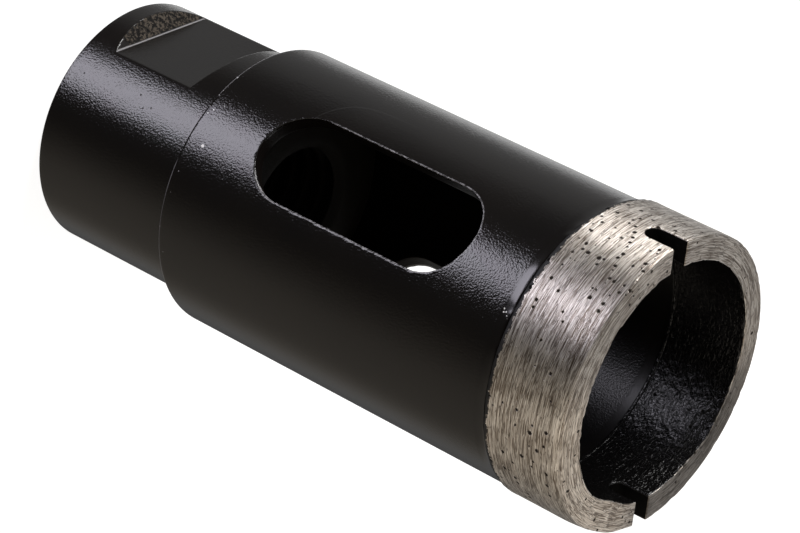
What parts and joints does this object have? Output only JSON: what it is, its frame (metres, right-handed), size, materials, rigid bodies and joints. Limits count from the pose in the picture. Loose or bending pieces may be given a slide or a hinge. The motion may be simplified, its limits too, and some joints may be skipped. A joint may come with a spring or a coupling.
{
  "type": "diamond core bit",
  "caption": "Short core bit: threaded hub with spanner flats, black steel barrel with clearing windows, and a slotted sintered diamond rim.",
  "frame": {"origin": "centre of the hub's rear face, on the bit's axis, where the bit stands", "axes": "+Z along the axis from the hub to the cutting rim; +X through the middle of one clearing window; +Y by the right-hand rule"},
  "size_m": [0.035, 0.035, 0.0809],
  "materials": {
    "black_paint": "satin black paint on steel",
    "sintered_metal": "sintered metal and diamond grit, ground round its outside"
  },
  "bodies": {
    "root": {"hub": "black_paint", "barrel": "black_paint", "cutting_rim": "sintered_metal"}
  },
  "joints": []
}
